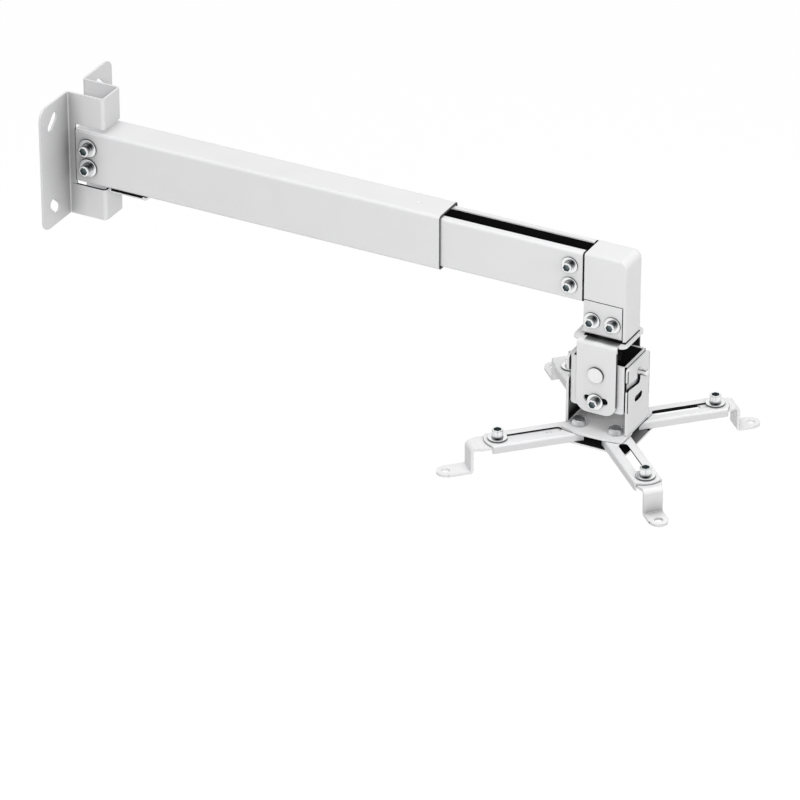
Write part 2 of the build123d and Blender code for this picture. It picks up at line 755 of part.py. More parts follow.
corners = {
    "left": (-1, -1, arm_angle, long_foot),
    "front": (1, -1, front_arm_angle, short_foot),
    "right": (1, 1, arm_angle, short_foot),
    "back": (-1, 1, arm_angle, long_foot),
}
for name, (along, aside, turn, kind) in corners.items():
    angle = turn if along > 0 else 180 - turn
    pivot = (swivel_x + along * hub_pitch_x / 2, aside * hub_pitch_y / 2, arm_top)
    place = Pos(*pivot) * Rot(0, 0, aside * angle)
    seat = (foot_screw_place, 0, seat_gap)
    screw, ring = screw_and_washer(large_screw, seat, (0, 0, -1), foot_screw_reach)
    save(f"arm_{name}", place * arm())
    save(f"foot_{name}", place * foot(kind))
    save(f"foot_screw_{name}", place * screw)
    save(f"foot_washer_{name}", place * ring)
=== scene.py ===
# %% [markdown]
# # A telescopic wall mount for a projector
#
# The object is a folded steel bracket, a flat-sided boom that slides out of a tube, and a head
# that turns and tilts above four slotted arms. Its solids come ready made from a frame, in
# metres, with X away from the wall, Y across and Z up. This lesson dresses them: it sets the
# camera and the light first, then makes the finishes, and last the screws and washers.

# %% Load the frame
from math import radians, sqrt
import bpy
from mathutils import Matrix, Vector


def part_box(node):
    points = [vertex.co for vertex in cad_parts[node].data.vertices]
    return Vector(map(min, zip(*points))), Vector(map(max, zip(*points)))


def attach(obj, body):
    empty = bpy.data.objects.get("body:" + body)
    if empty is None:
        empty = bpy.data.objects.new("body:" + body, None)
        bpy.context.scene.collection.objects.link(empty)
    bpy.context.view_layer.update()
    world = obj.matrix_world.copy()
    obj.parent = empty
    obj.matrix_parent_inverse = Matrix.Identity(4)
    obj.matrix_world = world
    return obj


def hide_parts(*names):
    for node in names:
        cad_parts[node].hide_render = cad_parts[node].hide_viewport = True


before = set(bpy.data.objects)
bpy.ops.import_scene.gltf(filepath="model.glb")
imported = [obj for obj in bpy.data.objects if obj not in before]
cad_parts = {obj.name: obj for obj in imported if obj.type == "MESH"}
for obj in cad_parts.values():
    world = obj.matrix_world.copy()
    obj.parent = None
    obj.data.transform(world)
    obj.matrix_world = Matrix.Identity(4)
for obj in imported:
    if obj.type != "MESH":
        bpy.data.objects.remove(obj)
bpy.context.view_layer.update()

# %% [markdown]
# ## Camera
#
# A product shot is taken from far away with a long lens, so that parallel edges stay nearly
# parallel. The place and the turn below were fitted to edges of the bracket, the boom and
# the head. The lens axis meets the middle of the picture, so no shift is needed.

# %% Camera
image_size = 800
focal_pixels = 5462.0
sensor = 36.0
farthest = 100.0
camera_place = Vector((2.3674, -3.8464, 2.2723))
right = Vector((0.88444, 0.46665, 0.0))
down = Vector((0.22929, -0.43460, -0.87094))

lens = bpy.data.cameras.new("camera")
lens.sensor_width = sensor
lens.lens = focal_pixels / image_size * sensor
lens.clip_end = farthest
camera = bpy.data.objects.new("camera", lens)
turn = Matrix((right, -down, -right.cross(down))).transposed()
camera.matrix_world = Matrix.Translation(camera_place) @ turn.to_4x4()
bpy.context.scene.collection.objects.link(camera)
bpy.context.scene.camera = camera
bpy.context.scene.view_settings.view_transform = "Standard"
print("lens:", round(lens.lens, 1), "mm")

# %% [markdown]
# ## Nodes in a few words
#
# Every finish below is a tree of shader nodes, and short helpers keep the trees readable. The
# first one adds a node with its settings. The next ones do sums with numbers: a ramp, for
# instance, turns one range of numbers into another.

# %% Helpers for numbers
def add(tree, kind, inputs=None, **settings):
    """A new node with its settings and with values or links for its inputs."""
    made = tree.nodes.new(kind)
    for key, value in settings.items():
        setattr(made, key, value)
    for key, value in (inputs or {}).items():
        if isinstance(value, bpy.types.NodeSocket):
            tree.links.new(value, made.inputs[key])
        else:
            made.inputs[key].default_value = value
    return made


def calc(tree, operation, first, second=0.0):
    """One Math node."""
    return add(tree, "ShaderNodeMath", {0: first, 1: second}, operation=operation).outputs[0]


def times(tree, first, *others):
    """The product of several numbers."""
    for other in others:
        first = calc(tree, "MULTIPLY", first, other)
    return first


def largest(tree, first, *others):
    """The largest of several numbers."""
    for other in others:
        first = calc(tree, "MAXIMUM", first, other)
    return first


def between(tree, value, low, high):
    """1 where a number lies between two others, else 0."""
    return times(tree, calc(tree, "GREATER_THAN", value, low), calc(tree, "LESS_THAN", value, high))


def ramp(tree, value, start, end, low, high):
    """Goes from low to high while a value goes from start to end, and is level beyond them."""
    ends = {"Value": value, "From Min": start, "From Max": end, "To Min": low, "To Max": high}
    return add(tree, "ShaderNodeMapRange", ends).outputs[0]


print("helpers for numbers ready")

# %% [markdown]
# More helpers work with points and colours. A point is given in Object coordinates, which stay
# with the part when it moves. A mask is a number that is 1 on some faces and 0 elsewhere, and
# the simplest mask is a box: it tells which faces lie inside it.

# %% Helpers for points and colours
def vector_calc(tree, operation, first, second=(0, 0, 0)):
    """One Vector Math node."""
    return add(tree, "ShaderNodeVectorMath", {0: first, 1: second}, operation=operation).outputs[0]


def parts_of(tree, vector):
    """The X, Y and Z of a vector."""
    return add(tree, "ShaderNodeSeparateXYZ", {0: vector}).outputs


def face_way(tree):
    """The X, Y and Z of the way that a face looks."""
    return parts_of(tree, add(tree, "ShaderNodeTexCoord").outputs["Normal"])


def within(tree, point, centre, half):
    """Mask of a box, given by its centre and half of its size."""
    apart = vector_calc(tree, "ABSOLUTE", vector_calc(tree, "SUBTRACT", point, centre))
    axes = parts_of(tree, vector_calc(tree, "SUBTRACT", apart, half))
    return calc(tree, "LESS_THAN", largest(tree, *axes), 0.0)


def blend(tree, factor, first, second):
    """A colour between two others."""
    ends = {"Factor": factor, 6: first, 7: second}
    return add(tree, "ShaderNodeMix", ends, data_type="RGBA").outputs[2]


def noise_at(tree, point, scale, detail):
    """A noise of about 0.5 that wanders with the place."""
    ends = {"Vector": point, "Scale": scale, "Detail": detail}
    return add(tree, "ShaderNodeTexNoise", ends).outputs["Fac"]


def blank_material(name):
    """A material with an empty tree and its output node."""
    material = bpy.data.materials.new(name)
    material.use_nodes = True
    material.node_tree.nodes.clear()
    output = add(material.node_tree, "ShaderNodeOutputMaterial")
    return material, material.node_tree, output


def cover(tree, output, inputs):
    """Ends a tree with a Principled shader."""
    skin = add(tree, "ShaderNodeBsdfPrincipled", inputs)
    tree.links.new(skin.outputs[0], output.inputs["Surface"])


print("helpers for points and colours ready")

# %% [markdown]
# ## Light
#
# The photograph was lit from all round by white walls, with a little more from above. A pale
# world gives that, and three lamps add the rest: a large one above, one on the camera's side,
# and a small one in front of the head. The camera, and what metal mirrors, see the world as
# plain white; only the light that falls on the object is turned down.

# %% World
white = (1, 1, 1, 1)
fill_strength = 0.42


def seen_by(tree, *rays):
    """Mask of some kinds of ray."""
    path = add(tree, "ShaderNodeLightPath").outputs
    return largest(tree, *(path[ray] for ray in rays))


world = bpy.data.worlds.new("studio")
world.use_nodes = True
bpy.context.scene.world = world
tree = world.node_tree
tree.nodes.clear()
seen = seen_by(tree, "Is Camera Ray", "Is Transmission Ray", "Is Glossy Ray")
fill = add(tree, "ShaderNodeBackground", {"Color": white, "Strength": fill_strength}).outputs[0]
plain = add(tree, "ShaderNodeBackground", {"Color": white, "Strength": 1.0}).outputs[0]
mixed = add(tree, "ShaderNodeMixShader", {0: seen, 1: fill, 2: plain}).outputs[0]
add(tree, "ShaderNodeOutputWorld", {0: mixed})
print("strength of the world's light:", fill_strength)


# %% Lamps
def lamp(name, place, aim, size, power):
    """A square lamp that looks at a point."""
    data = bpy.data.lights.new(name, "AREA")
    data.size = size
    data.energy = power
    made = bpy.data.objects.new(name, data)
    made.visible_camera = False
    made.visible_glossy = False
    made.location = place
    made.rotation_euler = (Vector(aim) - Vector(place)).to_track_quat("-Z", "Y").to_euler()
    bpy.context.scene.collection.objects.link(made)
    return made


boom_middle = (0.4, 0.0, -0.05)
head_middle = (0.55, 0.0, -0.05)
lamp("lamp_above", (0.2, -0.2, 2.4), boom_middle, size=2.0, power=32.0)
lamp("lamp_near", (1.62, -2.31, 1.42), boom_middle, size=0.9, power=33.5)
lamp("lamp_front", (1.35, -0.25, 0.35), head_middle, size=0.5, power=2.0)
print("lamps:", len(bpy.data.lights))

# %% [markdown]
# The mount hangs free in the picture, and no shadow shows. The floor is therefore well below
# the arms. It is white to the camera, apart from a little of its real shade, so that a faint
# shadow is kept.

# %% Floor
floor_height = -0.75
floor_half = 6.0
floor_grey = (0.9, 0.9, 0.9, 1)
glow_strength = 1.04
glow_share = 0.9

floor_corners = [(x * floor_half, y * floor_half, floor_height)
                 for x, y in ((-1, -1), (1, -1), (1, 1), (-1, 1))]
floor_mesh = bpy.data.meshes.new("floor")
floor_mesh.from_pydata(floor_corners, [], [(0, 1, 2, 3)])
floor = bpy.data.objects.new("floor", floor_mesh)
bpy.context.scene.collection.objects.link(floor)
material, tree, output = blank_material("floor_white")
seen = times(tree, seen_by(tree, "Is Camera Ray", "Is Glossy Ray"), glow_share)
matt = add(tree, "ShaderNodeBsdfDiffuse", {"Color": floor_grey}).outputs[0]
glow = add(tree, "ShaderNodeEmission", {"Color": white, "Strength": glow_strength}).outputs[0]
mixed = add(tree, "ShaderNodeMixShader", {0: seen, 1: matt, 2: glow}).outputs[0]
tree.links.new(mixed, output.inputs["Surface"])
floor_mesh.materials.append(material)
print("floor at", floor_height)

# %% [markdown]
# ## Powder coat
#
# The steel is dusted with white powder and baked. The skin that this leaves is satin and has the
# fine waves of orange peel, and a painted highlight makes it bright along outward edges. Inside a
# channel the faces get a painted shade, nearly black, and this is why the open boom looks black.
# The Bevel node rounds the edges in the shading only, and where its normal departs from the true
# one there is an edge.
#
# Narrow gaps between sheets look black and wide corners softly grey. An Ambient Occlusion node
# tells how open a face is: one looks about 2 mm around for the gaps, and another one looks
# farther for the soft shade. Raising the second to a power makes its shade stronger or
# weaker, so each part can have soft shade only where the photograph has it.

# %% Edges and corners of the coat
coat_colour = (0.79, 0.79, 0.795, 1)
coat_shade = (0.755, 0.755, 0.765, 1)
edge_highlight_colour = (0.93, 0.93, 0.93, 1)
painted_shade_colour = (0.012, 0.012, 0.013, 1)


def openness(tree, reach, samples):
    """1 on an open face, and less where another face is within reach."""
    return add(tree, "ShaderNodeAmbientOcclusion", {"Distance": reach}, samples=samples).outputs["AO"]


def painted_edge_highlight(tree, soft, gap):
    """Mask of the outward edges, where a highlight is painted; soft is the rounded normal and gap the
    openness nearby.
    """
    true = add(tree, "ShaderNodeNewGeometry").outputs["Normal"]
    same = add(tree, "ShaderNodeVectorMath", {0: soft, 1: true}, operation="DOT_PRODUCT").outputs["Value"]
    return times(tree, ramp(tree, same, 0.995, 0.85, 0.0, 1.0), ramp(tree, gap, 0.7, 0.95, 0.0, 1.0))


def shade_in_corners(tree, tone, gap, shade_reach, strength):
    """Darkens a colour in narrow gaps, and more softly and widely where faces meet."""
    keep = ramp(tree, gap, 0.25, 0.8, 0.04, 1.0)
    if strength:
        wide = openness(tree, shade_reach, samples=8)
        keep = times(tree, keep, calc(tree, "POWER", wide, strength))
    return blend(tree, keep, painted_shade_colour, tone)


print("coat colour:", coat_colour[:3])

# %% [markdown]
# Now the coat itself. A part's own functions tell it what is special there: painted_shade gives the
# mask of the faces that are painted dark as shade, and shade gives the power of the soft painted
# shade in the corners. An upright value below 1 paints standing faces a little darker than level
# ones, as a painted shade on the arms.

# %% Powder coat
cloud_scale = 38.0
peel_scale = 650.0
peel_depth = 0.0004
edge_radius = 0.0005
coat_roughness = (0.38, 0.5)
painted_shade_roughness = 0.9
coat_mirror = 0.35


def powder_coat(name, painted_shade=None, shade=None, gap_reach=0.0022, shade_reach=0.045, upright=1.0):
    """White coat; painted_shade(tree, point) marks the faces painted dark as shade, shade(tree, point) the
    power of the painted shade in its corners.
    """
    material, tree, output = blank_material(name)
    point = add(tree, "ShaderNodeTexCoord").outputs["Object"]
    cloud = noise_at(tree, point, cloud_scale, 3.0)
    soft = add(tree, "ShaderNodeBevel", {"Radius": edge_radius}, samples=4).outputs[0]
    gap = openness(tree, gap_reach, samples=6)
    tone = blend(tree, cloud, coat_colour, coat_shade)
    # Painted highlight: the outward edges are made lighter in colour.
    tone = blend(tree, painted_edge_highlight(tree, soft, gap), tone, edge_highlight_colour)
    # Painted shade: standing faces get a little darker than level ones.
    if upright < 1.0:
        level = ramp(tree, face_way(tree)[2], 0.0, 0.9, upright, 1.0)
        tone = blend(tree, level, painted_shade_colour, tone)
    tone = shade_in_corners(tree, tone, gap, shade_reach, shade and shade(tree, point))
    gloss = ramp(tree, cloud, 0.0, 1.0, *coat_roughness)
    mirror = coat_mirror
    # Painted shade: the masked faces are nearly black and rough.
    if painted_shade:
        mask = painted_shade(tree, point)
        tone = blend(tree, mask, tone, painted_shade_colour)
        gloss = largest(tree, gloss, times(tree, mask, painted_shade_roughness))
        mirror = ramp(tree, mask, 0.0, 1.0, coat_mirror, 0.0)
    peel = noise_at(tree, point, peel_scale, 2.0)
    bump = add(tree, "ShaderNodeBump", {"Height": peel, "Strength": 0.06, "Distance": peel_depth,
                                        "Normal": soft}).outputs[0]
    cover(tree, output, {"Base Color": tone, "Roughness": gloss, "Specular IOR Level": mirror,
                         "Normal": bump})
    return material


def dress(material, *names):
    """Gives a material to CAD nodes."""
    for name in names:
        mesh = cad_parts[name].data
        mesh.materials.clear()
        mesh.materials.append(material)


def full_shade(tree, point):
    """Plain soft shade in every corner."""
    return 1.0


dress(powder_coat("foot_coat", upright=0.96), "foot_left", "foot_right", "foot_back")
dress(powder_coat("front_foot_coat", shade=full_shade, shade_reach=0.016, upright=0.86), "foot_front")
print("powder coat on the feet")

# %% [markdown]
# ## Coat on the bracket and the tubes
#
# The inside faces are painted dark as shade, and they are found by place. Each mask is a box just
# larger than the part's inside, so the outer faces stay white. Where a box needs no end along an
# axis, it gets far, which is longer than the whole object.
#
# The photograph also has fine black lines at the tubes' ends and along the bracket's slits.
# The gaps alone would leave them pale, so a thin box mask paints each one as a shadow line. Such a
# painted shadow is not lit: it stays as it is when the light changes.

# %% Bracket
far = 1.0
hat_middle = 0.02
hat_outside = 0.0162
hat_inside = 0.0139
hat_front = 0.04
flange_start = 0.0163
flange_depth = 0.0065
slit_low = -0.0309


def bracket_shade(tree, point):
    """Strong shade on the near flange, less on the sides of the hat, little elsewhere."""
    flange = within(tree, point, (0, -flange_start - far, 0), (flange_depth, far, far))
    outside = within(tree, point, (hat_middle, 0, 0), (0.0185, hat_outside, far))
    inside = within(tree, point, (hat_middle, 0, 0), (0.0181, hat_inside, far))
    sides = calc(tree, "SUBTRACT", outside, inside)
    front = within(tree, point, (hat_front, 0, 0.05), (0.0012, hat_outside, 0.05))
    depth = ramp(tree, parts_of(tree, point)[0], 0.004, 0.02, 1.1, 0.3)
    rest = calc(tree, "ADD", times(tree, sides, depth), times(tree, front, 0.3))
    return calc(tree, "ADD", times(tree, flange, 1.25), rest)


def slit_edges(tree, point):
    """Mask of painted shadow lines: the upward edge of the lower slits, and a line beside the tube's start.
    """
    lower = within(tree, point, (0.025, 0, slit_low), (0.02, 0.0161, 0.0002))
    start = within(tree, point, (0.0091, 0, 0), (0.0005, 0.0161, 0.0262))
    return largest(tree, lower, times(tree, start, 0.75))


dress(powder_coat("wall_bracket_coat", slit_edges, bracket_shade, shade_reach=0.07, upright=0.97),
      "wall_bracket")
print("bracket dressed")

# %% Tubes and stop plate
swivel_x = 0.5475
tongue_end = swivel_x - 0.0179
outer_tube_end = 0.387
inner_tube_end = tongue_end - 0.0013


def tube_marks(half_width, half_height, end, line_level):
    """Mask of painted shade inside a tube that runs along X, and of a painted shadow line round its end."""
    def mask(tree, point):
        inside = within(tree, point, (0.3, 0, 0), (far, half_width, half_height))
        line = within(tree, point, (end, 0, 0), (0.0005, far, far))
        return largest(tree, inside, times(tree, line, line_level))
    return mask


def tube_shade(tree, point):
    """Shade only on the sides where the tube starts, beside the bracket."""
    return within(tree, point, (0, 0, 0), (0.09, far, 0.0265))


def notches(tree, point):
    """Mask of painted shadow in the two notches of the stop plate."""
    return within(tree, point, (0.0635, 0, -0.0277), (0.0166, far, 0.0007))


outer_marks = tube_marks(half_width=0.01595, half_height=0.02545, end=outer_tube_end, line_level=0.85)
inner_marks = tube_marks(half_width=0.01385, half_height=0.02295, end=inner_tube_end, line_level=0.95)
dress(powder_coat("outer_tube_coat", outer_marks, tube_shade), "outer_tube")
dress(powder_coat("stop_plate_coat", notches), "stop_plate")
dress(powder_coat("inner_tube_coat", inner_marks), "inner_tube")
print("tubes and stop plate dressed")

# %% [markdown]
# ## Coat on the head
#
# All places in the head are counted from the swivel's axis. The elbow's bends face the lamp and
# would shine more than they do in the photograph. A product of two parts of the normal is
# largest on a bend and nothing on a flat face, so it can darken just the bends.

# %% Elbow and head bracket
def head_box(tree, point, centre, half):
    """Mask of a box whose centre is counted from the swivel's axis."""
    return within(tree, point, (swivel_x + centre[0], centre[1], centre[2]), half)


def elbow_marks(tree, point):
    """Mask of painted shade on the elbow's two tongues inside the boom, and a faint painted shade on its
    near bends.
    """
    tongues = within(tree, point, (tongue_end - far, 0, 0), (far, far, far))
    way = face_way(tree)
    upright_bend = times(tree, way[0], way[1], -0.26)
    top_bend = times(tree, way[2], way[1], -0.16)
    return largest(tree, tongues, upright_bend, top_bend, 0.0)


def head_edges(tree, point):
    """Mask of painted shadow lines on the front edges of the head bracket's two sides."""
    return head_box(tree, point, (0.0201, 0, -0.038), (0.0002, far, 0.018))


dress(powder_coat("elbow_coat", elbow_marks), "elbow")
dress(powder_coat("head_coat", head_edges), "head_bracket")
print("elbow and head bracket dressed")

# %% [markdown]
# The upper yoke gets painted shade inside and below the elbow, and its bends lie in the shade of the
# head bracket. Through its curved slots, and through the window of the lower yoke, one sees the box,
# which gets painted shade there. The edges that turn away from the light are painted as thin dark
# shadow lines.

# %% Upper yoke and box
yoke_roof = 0.0591


def yoke_inside(tree, point):
    """Mask of painted shade on the upper yoke's inner faces, on its top below the elbow and on its legs'
    edges.
    """
    inner = head_box(tree, point, (0, 0, -yoke_roof - far), (far, 0.02215, far))
    top = head_box(tree, point, (0.003, 0, -0.0564), (0.0206, 0.0153, 0.0002))
    edges = head_box(tree, point, (0.0196, 0, -0.097), (0.0002, far, 0.034))
    return largest(tree, inner, top, times(tree, edges, 0.9))


def yoke_shade(tree, point):
    """Strong shade on the upper yoke's bends, below the head bracket."""
    bends = head_box(tree, point, (0.003, 0, -0.0585), (0.0165, far, 0.0035))
    return times(tree, bends, 4.0)


def box_inside(tree, point):
    """Mask of painted shade on the box's inner faces, where the yokes' openings show it, and on two edges.
    """
    inner = head_box(tree, point, (0, 0, 0), (0.02505, 0.01905, far))
    behind_slots = head_box(tree, point, (0, 0, -0.1145), (0.0135, far, 0.0075))
    behind_window = head_box(tree, point, (0, 0, -0.1144), (far, 0.0135, 0.0085))
    front = head_box(tree, point, (0.0272, 0, 0), (0.001, far, far))
    flat = head_box(tree, point, (0, 0, 0), (far, 0.0188, far))
    corner = calc(tree, "SUBTRACT", front, flat)
    crest = head_box(tree, point, (0.0275, 0, -0.078), (0.0004, 0.0188, 0.0009))
    return largest(tree, inner, behind_slots, times(tree, behind_window, 0.7), corner, crest)


dress(powder_coat("yoke_coat", yoke_inside, yoke_shade, shade_reach=0.014), "swivel_yoke")
dress(powder_coat("box_coat", box_inside, gap_reach=0.004), "tilt_box")
print("upper yoke and box dressed")

# %% Lower yoke and hub plate
plate_outside = 0.0303
plate_middle_height = -0.1


def lower_yoke_marks(tree, point):
    """Mask of painted shade on the lower yoke's inner face on the wall side and in its slots, and of three
    painted shadow lines.
    """
    rear = head_box(tree, point, (-0.026, 0, -0.11), (0.00205, far, 0.0335))
    rear = times(tree, rear, ramp(tree, parts_of(tree, point)[2], -0.138, -0.125, 1.0, 0.72))
    slots = head_box(tree, point, (0, 0, -0.1144), (0.03045, 0.0105, 0.0055))
    mouth = head_box(tree, point, (0.0292, -0.009, -0.0934), (0.0011, 0.0125, 0.0085))
    front = head_box(tree, point, (plate_outside, 0, plate_middle_height), (0.0005, far, 0.0215))
    flat = head_box(tree, point, (plate_outside, 0, plate_middle_height), (0.0005, 0.0215, 0.0215))
    edge = calc(tree, "SUBTRACT", front, flat)
    foot = head_box(tree, point, (0.03, 0.005, -0.147), (0.003, 0.016, 0.0009))
    return largest(tree, rear, slots, mouth, edge, foot)


def base_shade(tree, point):
    """Shade on the lower yoke's base, towards the wall."""
    return ramp(tree, parts_of(tree, point)[0], swivel_x - 0.02, swivel_x - 0.005, 0.7, 0.0)


def plate_top(tree, point):
    """Mask of painted shade on the top of the plate under the arms, weaker between the two outer arms."""
    top = head_box(tree, point, (0, 0, -0.1555), (far, far, 0.0004))
    light = ramp(tree, parts_of(tree, point)[0], swivel_x + 0.016, swivel_x + 0.034, 0.0, 0.22)
    light = times(tree, light, within(tree, point, (swivel_x, 0, 0), (far, 0.014, far)))
    return calc(tree, "SUBTRACT", top, times(tree, top, light))


dress(powder_coat("hook_yoke_coat", lower_yoke_marks, base_shade, shade_reach=0.02), "roll_yoke")
dress(powder_coat("hub_plate_coat", plate_top), "hub_plate")
print("lower yoke and hub plate dressed")

# %% [markdown]
# ## Coat on the arms
#
# An arm is a channel, open below, with painted shade inside. For its mask the point is first turned
# so that X runs along the arm: a Mapping node of type Texture takes away the pivot's place and the
# arm's turn.

# %% Arms
arm_top = -0.1476
pivot_x = 0.018
pivot_y = 0.0195
arm_middle = 0.05
sheet = 0.00155
corners = {"left": (-1, -1, -135), "front": (1, -1, -44.2), "right": (1, 1, 45), "back": (-1, 1, 135)}


def arm_inside(along, aside, angle):
    """Mask of painted shade inside the channel of one arm and on the walls of its slot."""
    def mask(tree, point):
        pivot = (swivel_x + along * pivot_x, aside * pivot_y, arm_top)
        local = add(tree, "ShaderNodeMapping", {"Vector": point, "Location": pivot,
                                                "Rotation": (0, 0, radians(angle))},
                    vector_type="TEXTURE").outputs[0]
        channel = within(tree, local, (arm_middle, 0, -sheet - far), (far, 0.01145, far))
        slot = within(tree, local, (arm_middle, 0, -0.0011), (0.0337, 0.00435, 0.001))
        return largest(tree, channel, slot)
    return mask


for name, corner in corners.items():
    dress(powder_coat(f"arm_{name}_coat", arm_inside(*corner), upright=0.84), f"arm_{name}")
print("arms dressed:", len(corners))

# %% [markdown]
# ## Zinc, steel and plastic
#
# Screws, washers and nuts are bright zinc: a metal with a low roughness that a fine noise
# breaks up. Pins and rivets are steel, from bright to satin, and the disc under the elbow is
# black plastic.
#
# In a white studio bright metal would mirror only white. The photograph shows dark stripes on it,
# which neither the white walls nor a lamp would give. A function paints such stripes as dark
# reflections, and on some parts a painted shade: it gives a mask, and the metal is nearly black
# there. Painted reflections don't follow the camera, so they are right from the photograph's side
# and only likely from the others.

# %% Metal and plastic
reflection_and_shade_colour = (0.018, 0.022, 0.024, 1)
metal_edge_radius = 0.0003
metal_grain_depth = 0.0003
plastic_grain_depth = 0.0002


def metal(name, colour, low, high, grain, reflection_and_shade=None):
    """Metal whose roughness wanders between two values; reflection_and_shade(tree, point) masks its painted
    dark reflections and shade.
    """
    material, tree, output = blank_material(name)
    point = add(tree, "ShaderNodeTexCoord").outputs["Object"]
    noise = noise_at(tree, point, grain, 4.0)
    soft = add(tree, "ShaderNodeBevel", {"Radius": metal_edge_radius}, samples=4).outputs[0]
    bump = add(tree, "ShaderNodeBump", {"Height": noise, "Strength": 0.05, "Distance": metal_grain_depth,
                                        "Normal": soft}).outputs[0]
    darker = tuple(0.9 * part for part in colour[:3]) + (1,)
    tone = blend(tree, noise, colour, darker)
    if reflection_and_shade:
        tone = blend(tree, reflection_and_shade(tree, point), tone, reflection_and_shade_colour)
    cover(tree, output, {"Base Color": tone, "Roughness": ramp(tree, noise, 0.0, 1.0, low, high),
                         "Metallic": 1.0, "Normal": bump})
    return material


def plastic(name, colour, low, high, grain):
    """Moulded plastic with a fine grain."""
    material, tree, output = blank_material(name)
    point = add(tree, "ShaderNodeTexCoord").outputs["Object"]
    noise = noise_at(tree, point, grain, 3.0)
    bump = add(tree, "ShaderNodeBump", {"Height": noise, "Strength": 0.1,
                                        "Distance": plastic_grain_depth}).outputs[0]
    cover(tree, output, {"Base Color": colour, "Roughness": ramp(tree, noise, 0.0, 1.0, low, high),
                         "Normal": bump})
    return material


black = (0.012, 0.012, 0.013, 1)
dress(plastic("black_plastic", black, low=0.5, high=0.7, grain=500.0), "swivel_disc")
print("plastic on the disc")

# %% [markdown]
# The painted reflections and shade of the rivets and pins are placed by the way that a face looks.
# A lobe is 1 at one angle round an axis and fades on both sides of it, faster with a higher power.

# %% Rivets and pins
near_angle = -62            # towards the camera, in degrees round Z
rivet_tail = 0.0215


def lobe(tree, angle, centre, power):
    """1 at one angle round an axis, and less on both sides of it."""
    near = calc(tree, "COSINE", calc(tree, "SUBTRACT", angle, radians(centre)))
    return calc(tree, "POWER", largest(tree, near, 0.0), power)


def rivet_reflection_and_shade(tree, point):
    """Painted dark reflection on the walls of a flat rivet head whose face looks along Y, and painted shade
    on its inner end.
    """
    facing = calc(tree, "ABSOLUTE", face_way(tree)[1])
    wall = calc(tree, "LESS_THAN", facing, 0.6)
    tail = head_box(tree, point, (0, 0, 0), (far, rivet_tail, far))
    return times(tree, largest(tree, wall, tail), 0.9)


def dome_reflection(tree, point):
    """Painted dark reflections on a standing domed head: one on the near side, one round the shoulder."""
    way = face_way(tree)
    wall = calc(tree, "LESS_THAN", calc(tree, "ABSOLUTE", way[2]), 0.4)
    near = lobe(tree, calc(tree, "ARCTAN2", way[1], way[0]), near_angle, 4.0)
    off_shoulder = calc(tree, "ABSOLUTE", calc(tree, "SUBTRACT", way[2], 0.55))
    shoulder = ramp(tree, off_shoulder, 0.05, 0.2, 0.6, 0.0)
    return largest(tree, shoulder, times(tree, wall, calc(tree, "ADD", 0.1, times(tree, near, 0.4))))


def pin_reflection_and_shade(tree, point):
    """A painted dark reflection along a lying pin, above the middle of its side, and painted shade on its
    underside.
    """
    slope = face_way(tree)[2]
    off_streak = calc(tree, "ABSOLUTE", calc(tree, "SUBTRACT", slope, 0.75))
    streak = ramp(tree, off_streak, 0.05, 0.2, 0.75, 0.0)
    below = ramp(tree, slope, -0.5, -0.1, 0.7, 0.0)
    return largest(tree, streak, below)


dome_colour = (0.92, 0.93, 0.94, 1)
steel_colour = (0.95, 0.95, 0.95, 1)
steel_grain = 300.0
dome_steel = metal("rivet_steel", dome_colour, low=0.35, high=0.5, grain=steel_grain, reflection_and_shade=dome_reflection)
pin_steel = metal("pin_steel", steel_colour, low=0.15, high=0.3, grain=steel_grain, reflection_and_shade=pin_reflection_and_shade)
satin_steel = metal("satin_steel", steel_colour, low=0.42, high=0.55, grain=steel_grain, reflection_and_shade=rivet_reflection_and_shade)
dress(dome_steel, "hub_rivets")
dress(pin_steel, "roll_pins")
dress(satin_steel, "tilt_rivets")
print("steel on the rivets and pins")

# %% [markdown]
# Each screw carries two attributes, which are stored further below. One is screw_place, the
# place on the screw: 1 is the head's radius along X and Y and the head's height along Z,
# counted from the top of the washer. The other is outward, the way that the head looks. Screws
# that lie in the boom and screws that stand on the arms mirror different things, so they get
# different painted reflections.

# %% Zinc
head_top = 0.93
rim_start = 1.5


def lying_side(tree, angle, height):
    """Painted reflection on the side of a lying head: grey, with a dark patch that fades towards its top."""
    grey = calc(tree, "SUBTRACT", 0.68, times(tree, lobe(tree, angle, -20, 1.0), 0.6))
    patch = times(tree, ramp(tree, height, 0.6, 1.05, 1.0, 0.0), lobe(tree, angle, 50, 1.5))
    return largest(tree, grey, patch)


def standing_side(tree, angle, height):
    """Painted reflection and shade on the side of a standing head: a band round its foot and three upright
    lines.
    """
    foot = ramp(tree, height, 0.12, 0.42, 1.0, 0.0)
    near = calc(tree, "ADD", 0.5, times(tree, lobe(tree, angle, near_angle, 2.0), 0.5))
    line = times(tree, lobe(tree, angle, near_angle, 150.0), 0.3)
    sides = calc(tree, "ADD", lobe(tree, angle, -146, 30.0), lobe(tree, angle, 22, 30.0))
    return largest(tree, times(tree, foot, near), line, times(tree, sides, 0.5))


def distance_from_axis(tree, axes):
    """How far a point is from the Z axis."""
    squares = [times(tree, part, part) for part in axes[0:2]]
    return calc(tree, "SQRT", calc(tree, "ADD", *squares))


